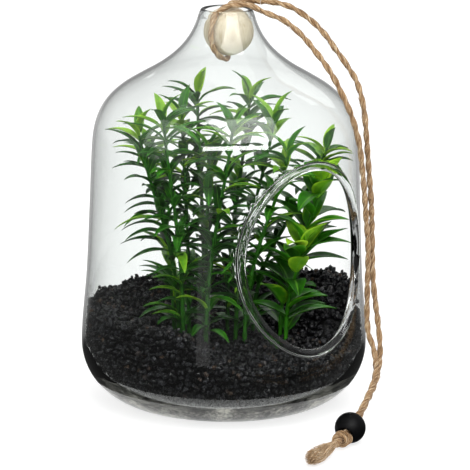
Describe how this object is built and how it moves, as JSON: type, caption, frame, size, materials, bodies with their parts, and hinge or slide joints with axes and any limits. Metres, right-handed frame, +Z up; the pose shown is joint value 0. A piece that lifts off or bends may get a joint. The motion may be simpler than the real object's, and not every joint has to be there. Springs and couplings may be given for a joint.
{
  "type": "hanging terrarium",
  "caption": "Glass bottle terrarium with an oval side opening, black gravel and leafy plants, carried by a ball on a doubled rope through its neck.",
  "frame": {"origin": "centre of the bottle's flat base, on the surface that it stands on", "axes": "+Z up along the bottle's axis, the oval side opening faces -Y, and the rope hangs over the shoulder towards +X and -Y"},
  "size_m": [0.191, 0.2582, 0.2712],
  "materials": {
    "clear_glass": "clear polished glass",
    "pale_wood": "unfinished, sanded",
    "jute": "twisted natural jute",
    "black_wood": "matt black paint",
    "black_gravel": "crushed, slightly shiny",
    "green_leaf": "satin moulded leaf",
    "bright_leaf": "satin moulded leaf"
  },
  "bodies": {
    "root": {"glass_bottle": "clear_glass", "wooden_ball": "pale_wood", "rope_through_ball": "jute", "rope_strand_inner": "jute", "rope_strand_outer": "jute", "rope_knot": "jute", "rope_tail": "jute", "bead": "black_wood", "gravel_bed": "black_gravel", "leafy_stem_01": "green_leaf", "leafy_stem_02": "green_leaf", "leafy_stem_03": "green_leaf", "leafy_stem_04": "green_leaf", "leafy_stem_05": "green_leaf", "leafy_stem_06": "green_leaf", "leafy_stem_07": "green_leaf", "leafy_stem_08": "green_leaf", "leafy_stem_09": "green_leaf", "leafy_stem_10": "green_leaf", "leafy_stem_11": "green_leaf", "leafy_stem_12": "bright_leaf", "leafy_stem_13": "bright_leaf"}
  },
  "joints": []
}
